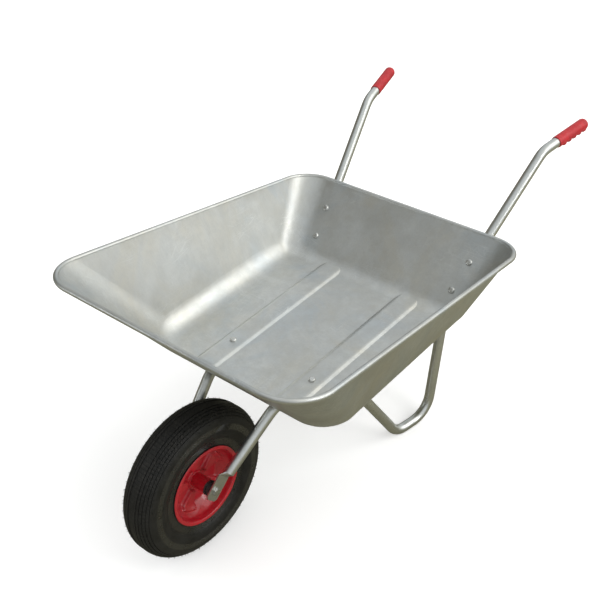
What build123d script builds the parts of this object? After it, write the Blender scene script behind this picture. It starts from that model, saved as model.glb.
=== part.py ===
"""Garden wheelbarrow: pressed tray on two bent tubes, with one pneumatic wheel.

Millimetres.  +Z up, ground at z = 0, the wheel points to -Y, X is the axle line.
The model is drawn with the axle at y = 0 and moved at the end so that the
origin sits at the middle of the whole length, on the ground.
"""
import os
from math import atan2, cos, radians, sin, sqrt, tan

from build123d import *

# ---------------------------------------------------------------- overall
TYRE_R = 185.0            # outside radius of the tyre, also the axle height
TYRE_W = 91.0             # tyre section width
RIM_FRONT_HALF = 368.0    # rolled edge centre line, half width at the front
TRAY_TAPER = 35.0         # half width lost from front to rear
FLOOR_LEN = 491.0         # floor, front wall to rear wall
TRAY_LIFT = 136.0         # floor above the axle, at the floor bolts
FRONT_DEPTH = 287.0       # rolled edge above the floor bolts' floor, front
REAR_DEPTH = 115.0        # the same at the rear

# ---------------------------------------------------------------- tray
SHEET_T = 1.0             # tray sheet thickness
CURL_R = 6.0              # outside radius of the rolled edge
CURL_OPEN_FROM = 186.0    # the roll stops short of closing between
CURL_OPEN_TO = 236.0      # these two angles
RELIEF_RUN = 25.0         # the roll is relieved for a tube this far up and down
FLOOR_OVER_TYRE = 17.0    # floor front edge, ahead of the tyre's rearmost point
FRONT_LEAN = 184.0        # front wall, foot to rolled edge, along y
REAR_LEAN = 167.0
SIDE_LEAN_FRONT = 96.0    # side wall, foot to rolled edge, along x
SIDE_LEAN_REAR = 64.0
RIM_FRONT_CORNER = 95.0   # plan corner radii
RIM_REAR_CORNER = 78.0
FLOOR_FRONT_CORNER = 86.0
FLOOR_REAR_CORNER = 52.0  # tighter, so that the wall bolts stand on the flat of the rear wall
FLOOR_FALL = 0.04         # fall towards the rear
FLOOR_FILLET = 62.0       # bend between floor and walls, outside
FLOOR_BOLT_IN = 114.7     # floor front edge back to the floor bolts
RIB_H = 4.5               # height of the two pressed floor ribs
RIB_SPARE = 39.0          # rib foot, wider than the tube by
RIB_SIDE = 9.0           # run of a rib's sloping side
RIB_OFF_BOLT = 1.15        # rib centre line, inboard of the floor bolts
RIB_FRONT_IN = 14.0       # rib front end, behind the floor's front edge
RIB_REAR_OUT = 16.0       # rib rear end, run on into the bend of the rear wall
RIB_ROUND = 10.0
RIB_BEND = 12.0           # bend along a rib's crest

# ---------------------------------------------------------------- tubes
TUBE_D = 25.0
TUBE_T = 1.5
TUBE_OFF_PLATE = 1.5      # tube plane at the axle, outside the plate's middle
TUBE_SPLAY = 0.215        # sideways run of the tube's plane per length in y
TUBE_LEAN = -0.060        # sideways run of that plane per height
KINK_Y = 40.0             # shoulder where the flattened end begins
KINK_RISE = 29.0
FORK_TOP_IN = 15.0        # floor front edge back to the fork corner
LEG_TOP_BACK = 67.3       # floor bolts back to the front leg's corner
LEG_RAKE = 148.0          # front leg, top corner to foot corner, along y
FOOT_LEN = 103.0          # between the two foot corners
WALL_JOIN_DROP = 36.0     # leg-to-wall corner, below the lower wall bolt
HANDLE_RUN = 396.0        # lower wall bolt to the handle corner
HANDLE_PITCH = 6.4        # handle end, degrees above level
HANDLE_LEN = 146.0        # handle corner to the tube's end
BEND_FORK = 70.0
BEND_LEG = 62.0
BEND_FOOT_FRONT = 45.0
BEND_FOOT_REAR = 65.0
BEND_WALL = 62.0
BEND_HANDLE = 60.0
PLATE_SPREAD = 13.0       # flattened end, wider than the tube by
PLATE_T = 3.0
PLATE_GAP = 18.5          # tyre side to the plate's inner face
PLATE_TAIL = 22.0         # plate beyond the axle
PLATE_CHAMFER = 6.0
PLATE_EDGE_RATIO = 0.4    # edge bend of the flattened end, times its thickness
CRIMP_LEN = 13.0          # round tube to flat plate

# ---------------------------------------------------------------- fasteners
BOLT_D = 8.0
HEAD_RATIO = 2.125        # dome head, times the bolt
HEAD_H = 5.0
CROWN_RATIO = 0.86        # bend of the dome, times the head's height
WASHER_RATIO = 2.5        # washer, times the bolt
WASHER_T = 1.6
NUT_RATIO = 1.625         # nut across flats, times the bolt
NUT_H = 6.5
BOLT_PROUD = 3.0          # bolt end beyond its nut
HOLE_GAP = 0.25           # radial clearance of a bolt hole
WALL_BOLT_DROP = 151.0    # rolled edge down to the lower wall bolt
WALL_BOLT_GAP = 77.9      # between the two bolts on one wall tube

# ---------------------------------------------------------------- wheel
LIP_RATIO = 0.5243        # rim lip radius, times the tyre's
SQUARE_RATIO = 0.4375     # corner radius of the tyre section, times its size
CARCASS_T = 6.0
BEAD_W = 11.0
BEAD_H_RATIO = 2.0        # bead height above the lip, times its width
LIP_IN = 4.0              # rim lip's outer face, inside the tyre's side
LIP_T = 3.5               # lip roll thickness
LIP_BEND_RATIO = 0.45     # bend of the lip's edges, times its thickness
LIP_ROOT_RATIO = 0.3      # lip root beyond its inner face, times its thickness
BACK_RATIO = 1.25         # rim sheet measured square to the axle, times its thickness
SEAT_DROP = 8.0           # lip down to the bead seat
SEAT_FALL = 1.5
SEAT_W = 13.0
CONE_RATIO = 0.66         # foot of the dished part, times the lip
DISC_T = 1.8              # rim sheet
HUB_D = 34.0
HUB_T = 3.0
HUB_PROUD = 0.5           # hub tube end, outside the tyre's side
RIM_RIBS = 5
RIM_RIB_W = 21.0
RIM_RIB_H = 9.0
RIM_RIB_SIDE = 5.0
RIM_RIB_ROUND = 6.0
RIM_RIB_BEND = 3.6
RIM_RIB_OFF_HUB = 7.0
BOSS_W = 5.0              # step pressed round the hub, and its height
BOSS_H = 5.0
RIM_RIB_OFF_CONE = -7.0   # the ribs run up into the dish
TUBE_RUBBER_T = 2.5
AXLE_D = 10.0
AXLE_RUN = 0.05           # radial running clearance of the bushes
AXLE_AF_RATIO = 1.7
AXLE_HEAD_H = 6.4
AXLE_NUT_H = 8.0
AXLE_WASHER_RATIO = 2.0
AXLE_WASHER_T = 2.0
BUSH_FLANGE_SPARE = 2.0   # bush flange, wider than the hub tube by
BUSH_FLANGE_T = 4.0
BUSH_LEN = 20.0
BUSH_GAP = 0.6            # end play between bush and collar
COLLAR_RATIO = 3.0        # collar, times the axle
VALVE_D = 8.0
VALVE_IN = 26.5           # valve line, inside the tyre's side
VALVE_END_OUT = 41.0      # valve end, outside the hub tube
CAP_WALL = 1.0
CAP_LEN = 12.0
CAP_COVER = 7.0
CAP_EDGE_RATIO = 0.2      # bend of the cap's end, times its width
VALVE_FOOT_RATIO = 3.0    # valve foot inside the air tube, times the tube's rubber

# ---------------------------------------------------------------- grips
GRIP_WALL = 2.0
GRIP_LEN = 107.0
GRIP_END_T = 6.0
GRIP_ROUND = 12.0
GRIP_BUMPS = 5
GRIP_BUMP_R = 9.0
GRIP_BUMP_OUT = 3.0
GRIP_BUMP_TURN = 40.0     # bumps lie this far outboard of straight down

# ---------------------------------------------------------------- derived
TUBE_R = TUBE_D / 2
AXLE_Z = TYRE_R
FLOOR_FRONT_Y = TYRE_R - FLOOR_OVER_TYRE
FLOOR_REAR_Y = FLOOR_FRONT_Y + FLOOR_LEN
FLOOR_MID_Y = FLOOR_FRONT_Y + FLOOR_BOLT_IN
FLOOR_MID_Z = AXLE_Z + TRAY_LIFT
RIM_REAR_HALF = RIM_FRONT_HALF - TRAY_TAPER
FLOOR_FRONT_HALF = RIM_FRONT_HALF - SIDE_LEAN_FRONT
FLOOR_REAR_HALF = RIM_REAR_HALF - SIDE_LEAN_REAR
RIM_FRONT_Y = FLOOR_FRONT_Y - FRONT_LEAN
RIM_REAR_Y = FLOOR_REAR_Y + REAR_LEAN
RIM_FRONT_Z = FLOOR_MID_Z + FRONT_DEPTH
RIM_REAR_Z = FLOOR_MID_Z + REAR_DEPTH
RIM_RUN = RIM_REAR_Y - RIM_FRONT_Y
RIB_W = TUBE_D + RIB_SPARE
FORK_TOP_Y = FLOOR_FRONT_Y + FORK_TOP_IN
LEG_TOP_Y = FLOOR_MID_Y + LEG_TOP_BACK
FOOT_FRONT_Y = LEG_TOP_Y + LEG_RAKE
FOOT_REAR_Y = FOOT_FRONT_Y + FOOT_LEN
PLATE_W = TUBE_D + PLATE_SPREAD
PLATE_X = TYRE_W / 2 + PLATE_GAP + PLATE_T / 2
TUBE_AXLE_X = PLATE_X + TUBE_OFF_PLATE
HEAD_D = BOLT_D * HEAD_RATIO
WASHER_D = BOLT_D * WASHER_RATIO
NUT_AF = BOLT_D * NUT_RATIO
GRIP_D = TUBE_D + 2 * GRIP_WALL
LIP_R = TYRE_R * LIP_RATIO
LIP_X = TYRE_W / 2 - LIP_IN
SEAT_R = LIP_R - SEAT_DROP
SEAT_END_X = LIP_X - LIP_T - SEAT_W
CONE_R = LIP_R * CONE_RATIO
TYRE_H = TYRE_R - LIP_R
TYRE_SQUARE = SQUARE_RATIO * min(TYRE_W, TYRE_H)
HUB_HALF = TYRE_W / 2 + HUB_PROUD
RIM_RIB_IN = HUB_D / 2 + RIM_RIB_OFF_HUB
RIM_RIB_OUT = CONE_R - RIM_RIB_OFF_CONE
AXLE_AF = AXLE_D * AXLE_AF_RATIO
AXLE_WASHER_D = AXLE_D * AXLE_WASHER_RATIO
BUSH_FLANGE_D = HUB_D + BUSH_FLANGE_SPARE
COLLAR_D = AXLE_D * COLLAR_RATIO
VALVE_X = VALVE_IN - TYRE_W / 2
VALVE_END_R = HUB_D / 2 + VALVE_END_OUT
CAP_D = VALVE_D + 2 * CAP_WALL
X_AXIS = Vector(1, 0, 0)
FLOOR_N = Vector(0, FLOOR_FALL, 1).normalized()
RIM_DIR = Vector(0, RIM_RUN, RIM_REAR_Z - RIM_FRONT_Z).normalized()
WALL_INSET = CURL_R - SHEET_T     # rolled edge centre line to the sheet's outer face


def floor_z(y):
    """Height of the floor's upper face."""
    return FLOOR_MID_Z - FLOOR_FALL * (y - FLOOR_MID_Y)


def tube_x(y, z):
    """Sideways place of the slanted plane that holds a tube's centre line."""
    return TUBE_AXLE_X + TUBE_SPLAY * y + TUBE_LEAN * (z - AXLE_Z)


def on_plane(y, z):
    """Point of the tube's plane."""
    return Vector(tube_x(y, z), y, z)


def floor_run_z(y):
    """Tube centre line under the ribs: the tube bears on the rib's underside."""
    return floor_z(y) + RIB_H / FLOOR_N.Z - (SHEET_T + TUBE_R) / FLOOR_N.Z


def rib_x():
    """Centre line of a floor rib, which follows the tube that it covers."""
    return tube_x(FLOOR_MID_Y, floor_run_z(FLOOR_MID_Y)) - RIB_OFF_BOLT


def wall_foot():
    """Where the outer faces of floor and rear wall would meet."""
    return Vector(0, FLOOR_REAR_Y, floor_z(FLOOR_REAR_Y) - SHEET_T / FLOOR_N.Z)


def wall_head():
    """Top of the rear wall's outer face, under the rolled edge."""
    return Vector(0, RIM_REAR_Y, RIM_REAR_Z) - RIM_DIR * (WALL_INSET / RIM_DIR.Y)


def wall_dir():
    return (wall_head() - wall_foot()).normalized()


def wall_out():
    """Outward normal of the rear wall."""
    return wall_dir().cross(X_AXIS)


def wall_station(drop):
    """Point on the tube's centre line beside the rear wall."""
    face = wall_head() - wall_dir() * drop
    line = face + wall_out() * TUBE_R
    return on_plane(line.Y, line.Z)


def tube_corners():
    """Corners of the bent tube's centre line, front to rear."""
    join = wall_station(WALL_BOLT_DROP + WALL_JOIN_DROP)
    handle = wall_station(WALL_BOLT_DROP - HANDLE_RUN)
    pitch = radians(HANDLE_PITCH)
    tip = handle + Vector(0, cos(pitch), sin(pitch)) * HANDLE_LEN
    flat = [
        (KINK_Y, AXLE_Z + KINK_RISE),
        (FORK_TOP_Y, floor_run_z(FORK_TOP_Y)),
        (LEG_TOP_Y, floor_run_z(LEG_TOP_Y)),
        (FOOT_FRONT_Y, TUBE_R),
        (FOOT_REAR_Y, TUBE_R),
        (join.Y, join.Z),
        (handle.Y, handle.Z),
        (tip.Y, tip.Z),
    ]
    return [on_plane(y, z) for y, z in flat]


def bent_path(points, radii):
    """Straight runs joined by true bends: trimmed lines and tangent arcs."""
    edges = []
    start = points[0]
    for i, radius in enumerate(radii, start=1):
        into = (points[i] - points[i - 1]).normalized()
        away = (points[i + 1] - points[i]).normalized()
        turn = radians(into.get_angle(away))
        trim = radius * tan(turn / 2)
        a = points[i] - into * trim
        b = points[i] + away * trim
        edges.append(Line(start, a))
        middle = (away - into).normalized()
        centre = points[i] + middle * (radius / cos(turn / 2))
        mid = centre - middle * radius
        edges.append(ThreePointArc(a, mid, b))
        start = b
    edges.append(Line(start, points[-1]))
    return Wire([e for part in edges for e in part.edges()])


def mirrored(shape):
    """The same shape on the other side."""
    return mirror(shape, about=Plane.YZ)


def rod(start, end, radius):
    """Round bar between two points."""
    run = end - start
    plane = Plane(origin=start, z_dir=run)
    return extrude(plane * Circle(radius), run.length)


def ring(start, axis, outer, inner, length):
    """Flat ring standing on a point."""
    plane = Plane(origin=start, z_dir=axis)
    return extrude(plane * (Circle(outer) - Circle(inner)), length)


SAME = 1e-3               # closer than this is the same corner


def outline(front_y, rear_y, front_half, rear_half, front_corner, rear_corner, plane):
    """Rounded trapezium, lengths measured in plan and laid on a plane."""
    stretch = 1 / plane.y_dir.Y
    base = plane.origin.Y
    low = (front_y - base) * stretch
    high = (rear_y - base) * stretch
    face = make_face(Polyline(
        (-front_half, low), (front_half, low), (rear_half, high), (-rear_half, high), close=True
    ))
    fronts = [v for v in face.vertices() if v.Y < (low + high) / 2]
    rears = [v for v in face.vertices() if v.Y > (low + high) / 2]
    sketch = fillet(fronts, front_corner)
    rears = [
        v for v in sketch.vertices()
        if abs(abs(v.X) - rear_half) < SAME and abs(v.Y - high) < SAME
    ]
    return fillet(rears, rear_corner)


def rim_plane():
    """Plane of the rolled edge, sloping down to the rear."""
    middle = (RIM_FRONT_Y + RIM_REAR_Y) / 2
    height = (RIM_FRONT_Z + RIM_REAR_Z) / 2
    return Plane(origin=(0, middle, height), x_dir=X_AXIS, z_dir=X_AXIS.cross(RIM_DIR))


def floor_plane(drop=0.0):
    """Plane of the floor's upper face, or one below it."""
    middle = (FLOOR_FRONT_Y + FLOOR_REAR_Y) / 2
    origin = Vector(0, middle, floor_z(middle)) - FLOOR_N * drop
    return Plane(origin=origin, x_dir=X_AXIS, z_dir=FLOOR_N)


def sheet_steps(lean, rise, way=0.0):
    """How far in plan a wall's inner face stands in from its outer one, at floor and rim.

    way is 1 for the rear wall and -1 for the front one, as floor and rim slope along y.
    """
    wall = atan2(rise, lean)
    floor_fall = way * atan2(FLOOR_N.Y, FLOOR_N.Z)
    rim_fall = -way * atan2(RIM_DIR.Z, RIM_DIR.Y)
    return (
        SHEET_T * (tan((wall + floor_fall) / 2) - sin(floor_fall)),
        SHEET_T * cos(rim_fall) / sin(wall + rim_fall),
    )


def bowl(sheets, bend):
    """Solid filling the tray: floor outline lofted to the rim outline.

    sheets is 0 for the outside of the tray and 1 for its inside.
    """
    rear_wall = wall_head() - wall_foot()
    front = sheet_steps(FRONT_LEAN - WALL_INSET, RIM_FRONT_Z - floor_z(FLOOR_FRONT_Y), -1)
    rear = sheet_steps(rear_wall.Y, rear_wall.Z, 1)
    side_front = sheet_steps(SIDE_LEAN_FRONT, FRONT_DEPTH)
    side_rear = sheet_steps(SIDE_LEAN_REAR, REAR_DEPTH)
    low_plane = floor_plane(SHEET_T * (1 - sheets))
    top_plane = rim_plane()
    low = outline(
        FLOOR_FRONT_Y + sheets * front[0], FLOOR_REAR_Y - sheets * rear[0],
        FLOOR_FRONT_HALF - sheets * side_front[0], FLOOR_REAR_HALF - sheets * side_rear[0],
        FLOOR_FRONT_CORNER - sheets * side_front[0], FLOOR_REAR_CORNER - sheets * side_rear[0],
        low_plane,
    )
    top = outline(
        RIM_FRONT_Y + WALL_INSET + sheets * front[1], RIM_REAR_Y - WALL_INSET - sheets * rear[1],
        RIM_FRONT_HALF - WALL_INSET - sheets * side_front[1],
        RIM_REAR_HALF - WALL_INSET - sheets * side_rear[1],
        RIM_FRONT_CORNER - WALL_INSET - sheets * side_front[1],
        RIM_REAR_CORNER - WALL_INSET - sheets * side_rear[1],
        top_plane,
    )
    body = loft([low_plane * low, top_plane * top], ruled=True)
    base = body.faces().sort_by(Axis.Z)[0]
    return fillet(base.edges(), bend)


def rim_path():
    """Centre line of the rolled edge."""
    plane = rim_plane()
    face = outline(
        RIM_FRONT_Y, RIM_REAR_Y, RIM_FRONT_HALF, RIM_REAR_HALF,
        RIM_FRONT_CORNER, RIM_REAR_CORNER, plane,
    )
    return (plane * face).faces()[0].outer_wire()


def rolled_edge():
    """The rolled edge: an open hoop of sheet swept round the rim."""
    path = rim_path()
    start = path.position_at(0)
    along = path.tangent_at(0)
    up = rim_plane().z_dir
    outward = along.cross(up)
    if outward.dot(start - rim_plane().origin) < 0:
        outward = outward * -1
    plane = Plane(origin=start, x_dir=outward, z_dir=outward.cross(up))
    hoop = Circle(CURL_R) - Circle(CURL_R - SHEET_T)
    reach = CURL_R * 2
    slot = make_face(Polyline(
        (0, 0),
        (reach * cos(radians(CURL_OPEN_FROM)), reach * sin(radians(CURL_OPEN_FROM))),
        (reach * cos(radians(CURL_OPEN_TO)), reach * sin(radians(CURL_OPEN_TO))),
        close=True,
    ))
    return sweep(plane * (hoop - slot), path=path, transition=Transition.TRANSFORMED)


def pressed_rib(plane, length, width, height, side, sheet, corner, bend):
    """Rib pressed out of a sheet: the raised block and the hollow behind it."""
    climb = sqrt(height * height + side * side)
    inset = sheet * (climb - side) / height
    hollow_w = width - 2 * inset
    hollow_l = length - 2 * inset

    def block(base, wide, long, rise, crest):
        top = base.offset(rise)
        body = loft([
            base * RectangleRounded(wide, long, corner),
            top * RectangleRounded(wide - 2 * side, long - 2 * side, corner - side / 2),
        ])
        face = body.faces().sort_by(lambda f: (f.center() - base.origin).dot(base.z_dir))[-1]
        return fillet(face.edges(), crest)

    foot = extrude(plane * RectangleRounded(width, length, corner), -sheet)
    raised = block(plane, width, length, height, bend) + foot
    hollow = block(plane.offset(-sheet), hollow_w, hollow_l, height, bend - sheet)
    return raised, hollow


def make_tray():
    outer = bowl(0, FLOOR_FILLET)
    inner = bowl(1, FLOOR_FILLET - SHEET_T)
    tray = outer - inner
    front = FLOOR_FRONT_Y + RIB_FRONT_IN
    rear = FLOOR_REAR_Y + RIB_REAR_OUT
    middle = (front + rear) / 2
    for side in (1, -1):
        origin = Vector(side * rib_x(), middle, floor_z(middle))
        plane = Plane(origin=origin, x_dir=X_AXIS, z_dir=FLOOR_N)
        raised, hollow = pressed_rib(
            plane, rear - front, RIB_W, RIB_H, RIB_SIDE, SHEET_T, RIB_ROUND, RIB_BEND
        )
        tray = (tray - raised) + ((raised - hollow) & outer)
    tray = tray + rolled_edge()
    for start, axis in bolt_places():
        tray = tray - rod(start - axis * HEAD_H, start + axis * TUBE_R, BOLT_D / 2 + HOLE_GAP)
    relief = rod(wall_station(RELIEF_RUN), wall_station(-RELIEF_RUN), TUBE_R)
    return tray - relief - mirrored(relief)


def floor_bolt_places():
    """Head seats of the two floor bolts on the ribs, and the bolts' direction."""
    down = FLOOR_N * -1
    line = on_plane(FLOOR_MID_Y, floor_run_z(FLOOR_MID_Y))
    seat = line - down * (TUBE_R + SHEET_T)
    return [(Vector(side * seat.X, seat.Y, seat.Z), down) for side in (1, -1)]


def wall_bolt_places():
    """Head seats of the four wall bolts and the bolts' direction."""
    out = wall_out()
    places = []
    for drop in (WALL_BOLT_DROP, WALL_BOLT_DROP - WALL_BOLT_GAP):
        seat = wall_station(drop) - out * (TUBE_R + SHEET_T)
        for side in (1, -1):
            places.append((Vector(side * seat.X, seat.Y, seat.Z), out))
    return places


def bolt_places():
    return floor_bolt_places() + wall_bolt_places()


def make_bolt(start, axis):
    """Dome-headed bolt seated at start, shank along axis."""
    head = rod(start, start - axis * HEAD_H, HEAD_D / 2)
    crown = head.edges().sort_by(lambda e: (e.center() - start).dot(axis))[0]
    head = fillet(crown, HEAD_H * CROWN_RATIO)
    grip = SHEET_T + TUBE_D + WASHER_T + NUT_H + BOLT_PROUD
    return head + rod(start, start + axis * grip, BOLT_D / 2)


def make_washer(start, axis):
    seat = start + axis * (SHEET_T + TUBE_D)
    return ring(seat, axis, WASHER_D / 2, BOLT_D / 2 + HOLE_GAP, WASHER_T)


def make_nut(start, axis):
    seat = start + axis * (SHEET_T + TUBE_D + WASHER_T)
    plane = Plane(origin=seat, x_dir=X_AXIS, z_dir=axis)
    hexagon = RegularPolygon(NUT_AF / 2, 6, major_radius=False)
    return extrude(plane * (hexagon - Circle(BOLT_D / 2)), NUT_H)


def group(maker, places):
    return Compound(children=[maker(start, axis) for start, axis in places])


def plate_frame():
    """Directions of the flattened fork end: along it and across it."""
    up = Vector(0, KINK_Y, KINK_RISE)
    return up.normalized(), up.normalized().cross(X_AXIS)


def fork_end():
    """Flattened tube end with its axle hole, and the crimp that joins it."""
    up, across = plate_frame()
    reach = sqrt(KINK_Y * KINK_Y + KINK_RISE * KINK_RISE) - CRIMP_LEN
    axle = Vector(PLATE_X, 0, AXLE_Z)
    long = reach + PLATE_TAIL
    middle = axle + up * ((reach - PLATE_TAIL) / 2)
    plane = Plane(origin=middle, x_dir=up, z_dir=X_AXIS)
    bar = extrude(plane * Rectangle(long, PLATE_W), PLATE_T / 2, both=True)
    tails = bar.edges().filter_by(Axis.X).sort_by(lambda e: (e.center() - axle).dot(up))[:2]
    bar = chamfer(tails, PLATE_CHAMFER)
    corners = tube_corners()
    run = corners[1] - corners[0]
    round_end = Plane(origin=corners[0], x_dir=X_AXIS, z_dir=run)
    flat_end = Plane(origin=axle + up * reach, x_dir=X_AXIS, z_dir=up)
    crimp = loft([
        flat_end * RectangleRounded(PLATE_T, PLATE_W, PLATE_T * PLATE_EDGE_RATIO),
        round_end * Circle(TUBE_R),
    ])
    hole = rod(axle - X_AXIS * PLATE_T, axle + X_AXIS * PLATE_T, AXLE_D / 2 + HOLE_GAP)
    return bar + crimp - hole


def make_tube():
    """One side's frame tube: fork, floor run, leg, foot, wall run and handle."""
    corners = tube_corners()
    radii = [BEND_FORK, BEND_LEG, BEND_FOOT_FRONT, BEND_FOOT_REAR, BEND_WALL, BEND_HANDLE]
    path = bent_path(corners, radii)
    plane = Plane(origin=corners[0], x_dir=X_AXIS, z_dir=corners[1] - corners[0])
    tube = sweep(plane * (Circle(TUBE_R) - Circle(TUBE_R - TUBE_T)), path=path)
    tube = tube + fork_end()
    for start, axis in bolt_places():
        if start.X > 0:
            tube = tube - rod(
                start + axis * SHEET_T, start + axis * (SHEET_T + TUBE_D), BOLT_D / 2 + HOLE_GAP
            )
    return tube


def make_grip():
    """Hand grip: closed sleeve with finger bumps underneath."""
    corners = tube_corners()
    tip = corners[-1]
    along = (tip - corners[-2]).normalized()
    start = tip - along * (GRIP_LEN - GRIP_END_T)
    end = tip + along * GRIP_END_T
    body = rod(start, end, GRIP_D / 2)
    rim = body.edges().sort_by(lambda e: (e.center() - tip).dot(along))[-1]
    body = fillet(rim, GRIP_ROUND)
    down = along.cross(X_AXIS).normalized()
    if down.Z > 0:
        down = down * -1
    turn = radians(GRIP_BUMP_TURN)
    down = down * cos(turn) + X_AXIS * sin(turn)
    pitch = GRIP_LEN / (GRIP_BUMPS + 1)
    for i in range(GRIP_BUMPS):
        centre = start + along * (pitch * (i + 1))
        centre = centre + down * (GRIP_D / 2 + GRIP_BUMP_OUT - GRIP_BUMP_R)
        body = body + Pos(*centre) * Sphere(GRIP_BUMP_R)
    return body - rod(start, tip, TUBE_R)


def spun(points):
    """Body of revolution about the axle from (x, r) points."""
    face = make_face(Polyline(*points, close=True))
    return Pos(0, 0, AXLE_Z) * revolve(face, axis=Axis.X)


def sleeve(x0, x1, outer, inner):
    """Round sleeve on the axle line."""
    low = min(x0, x1)
    start = Vector(low, 0, AXLE_Z)
    return ring(start, X_AXIS, outer, inner, abs(x1 - x0))


def seat_r(x):
    """Radius of the bead seat at x."""
    lip_in = LIP_X - LIP_T
    return SEAT_R - SEAT_FALL * (lip_in - x) / (lip_in - SEAT_END_X)


def make_rim_half():
    """Pressed half rim on the +X side: lip, bead seat, dish and disc."""
    lip_in = LIP_X - LIP_T
    hub = HUB_D / 2
    rim = spun([
        (lip_in, LIP_R),
        (lip_in, SEAT_R),
        (SEAT_END_X, seat_r(SEAT_END_X)),
        (0, CONE_R),
        (0, hub),
        (DISC_T + BOSS_H, hub),
        (DISC_T + BOSS_H, hub + BOSS_W - DISC_T),
        (DISC_T, hub + BOSS_W),
        (DISC_T, CONE_R - DISC_T / 2),
        (SEAT_END_X + DISC_T / 2, seat_r(SEAT_END_X) - DISC_T * BACK_RATIO),
        (lip_in + LIP_T * LIP_ROOT_RATIO, SEAT_R - DISC_T),
        (LIP_X, SEAT_R),
        (LIP_X, LIP_R),
    ])
    lip = rim.edges().filter_by(GeomType.CIRCLE).sort_by(lambda e: -e.radius)[:2]
    rim = fillet(lip, LIP_T * LIP_BEND_RATIO)
    middle = (RIM_RIB_IN + RIM_RIB_OUT) / 2
    for i in range(RIM_RIBS):
        turn = radians(90 + 360 * i / RIM_RIBS)
        away = Vector(0, cos(turn), sin(turn))
        origin = Vector(DISC_T, 0, AXLE_Z) + away * middle
        plane = Plane(origin=origin, x_dir=away.cross(X_AXIS), z_dir=X_AXIS)
        raised, hollow = pressed_rib(
            plane, RIM_RIB_OUT - RIM_RIB_IN, RIM_RIB_W, RIM_RIB_H, RIM_RIB_SIDE,
            DISC_T, RIM_RIB_ROUND, RIM_RIB_BEND,
        )
        rim = rim - raised + (raised - hollow)
    return rim


def tyre_section(inset):
    """Rounded tyre section, or one drawn inside it."""
    shape = RectangleRounded(TYRE_W - 2 * inset, TYRE_H - 2 * inset, TYRE_SQUARE - inset)
    return Pos(0, LIP_R + TYRE_H / 2) * shape


def make_tyre():
    """Hollow carcass open between its two beads."""
    lip_in = LIP_X - LIP_T
    toe = lip_in - BEAD_W
    mouth = Pos(0, LIP_R) * Rectangle(2 * toe, TYRE_H / 2)
    carcass = tyre_section(0) - tyre_section(CARCASS_T) - mouth
    high = LIP_R + BEAD_W * BEAD_H_RATIO
    section = carcass
    for side in (1, -1):
        section = section + make_face(Polyline(
            (side * lip_in, SEAT_R), (side * toe, seat_r(toe)), (side * toe, high),
            (side * lip_in, high), close=True,
        ))
    section = section - tyre_section(CARCASS_T)
    return Pos(0, 0, AXLE_Z) * revolve(section, axis=Axis.X)


def valve_line(from_r, to_r, radius):
    """Round bar along the valve, which stands on the -Y side of the wheel."""
    start = Vector(VALVE_X, -from_r, AXLE_Z)
    end = Vector(VALVE_X, -to_r, AXLE_Z)
    return rod(start, end, radius)


def make_inner_tube():
    """Air tube lining the carcass."""
    section = tyre_section(CARCASS_T) - tyre_section(CARCASS_T + TUBE_RUBBER_T)
    tube = Pos(0, 0, AXLE_Z) * revolve(section, axis=Axis.X)
    return tube - valve_line(valve_root(), CONE_R, VALVE_D / 2)


def valve_root():
    """Radius where the valve starts, inside the air tube."""
    return LIP_R + CARCASS_T + VALVE_FOOT_RATIO * TUBE_RUBBER_T


def make_valve_stem():
    return valve_line(valve_root(), VALVE_END_R, VALVE_D / 2)


def make_valve_cap():
    outer = valve_line(VALVE_END_R + CAP_COVER, VALVE_END_R + CAP_COVER - CAP_LEN, CAP_D / 2)
    end = outer.edges().sort_by(Axis.Y)[-1]
    outer = fillet(end, CAP_D * CAP_EDGE_RATIO)
    return outer - valve_line(VALVE_END_R + CAP_COVER, VALVE_END_R, VALVE_D / 2)


def make_bush():
    """Flanged plain bush pressed into the +X end of the hub tube."""
    body = sleeve(HUB_HALF - BUSH_LEN, HUB_HALF, HUB_D / 2 - HUB_T, AXLE_D / 2 + AXLE_RUN)
    flange_end = HUB_HALF + BUSH_FLANGE_T
    return body + sleeve(HUB_HALF, flange_end, BUSH_FLANGE_D / 2, AXLE_D / 2 + AXLE_RUN)


def make_collar():
    """Spacer between the bush and the fork plate, on the +X side."""
    inner_end = HUB_HALF + BUSH_FLANGE_T + BUSH_GAP
    return sleeve(inner_end, PLATE_X - PLATE_T / 2, COLLAR_D / 2, AXLE_D / 2)


def axle_bits():
    """Axle bolt with its head on the +X side, washer and nut on the other."""
    face = PLATE_X + PLATE_T / 2
    head_plane = Plane(origin=(face, 0, AXLE_Z), x_dir=(0, 1, 0), z_dir=X_AXIS)
    hexagon = RegularPolygon(AXLE_AF / 2, 6, major_radius=False)
    head = extrude(head_plane * hexagon, AXLE_HEAD_H)
    nut_seat = -face - AXLE_WASHER_T
    nut_end = nut_seat - AXLE_NUT_H
    tail = Vector(nut_end - BOLT_PROUD, 0, AXLE_Z)
    shank = rod(tail, Vector(face, 0, AXLE_Z), AXLE_D / 2)
    washer = sleeve(nut_seat, -face, AXLE_WASHER_D / 2, AXLE_D / 2 + HOLE_GAP)
    nut_plane = Plane(origin=(nut_end, 0, AXLE_Z), x_dir=(0, 1, 0), z_dir=X_AXIS)
    nut = extrude(nut_plane * (hexagon - Circle(AXLE_D / 2)), AXLE_NUT_H)
    return head + shank, washer, nut


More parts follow.
